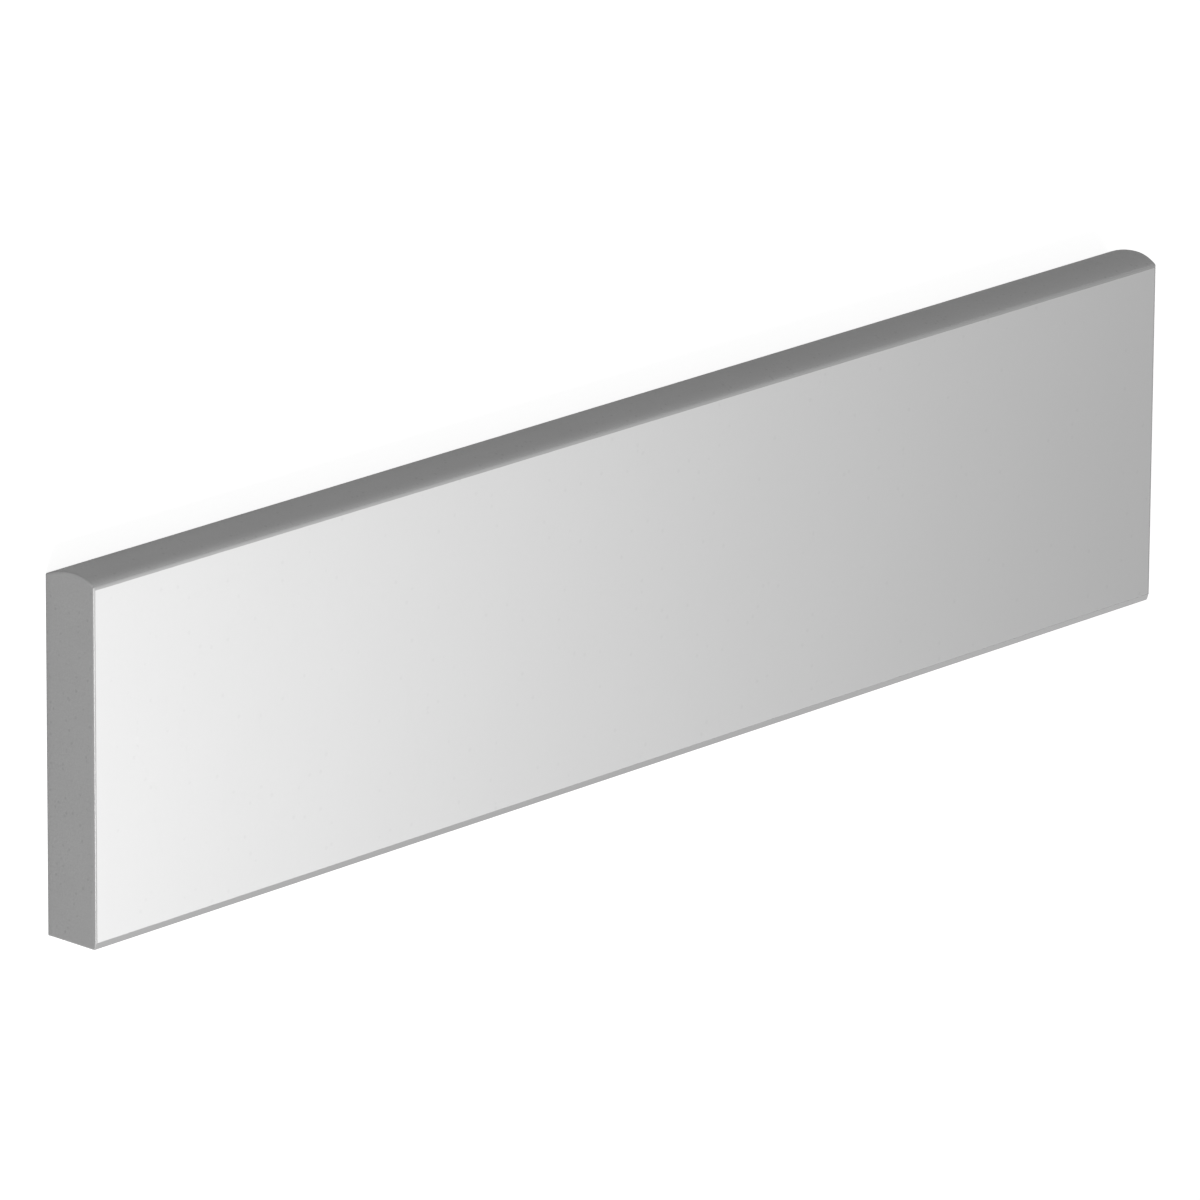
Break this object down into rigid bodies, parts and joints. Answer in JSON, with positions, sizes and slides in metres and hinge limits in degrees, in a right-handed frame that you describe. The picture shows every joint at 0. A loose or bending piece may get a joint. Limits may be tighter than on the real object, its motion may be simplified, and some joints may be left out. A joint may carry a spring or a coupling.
{
  "type": "bullnose tile",
  "caption": "Long narrow ceramic trim tile, flat on its face and rounded along one long edge, with a keyed back for bedding on a wall as a skirting or edge finish.",
  "frame": {"origin": "on the bedding plane of the back, under the middle of the tile's outline", "axes": "+X along the tile, +Z out of the face, +Y out of the foot edge and -Y out of the rounded nose"},
  "size_m": [0.33, 0.08, 0.014],
  "materials": {
    "stoneware": "satin"
  },
  "bodies": {
    "root": {"bullnose_tile": "stoneware"}
  },
  "joints": []
}
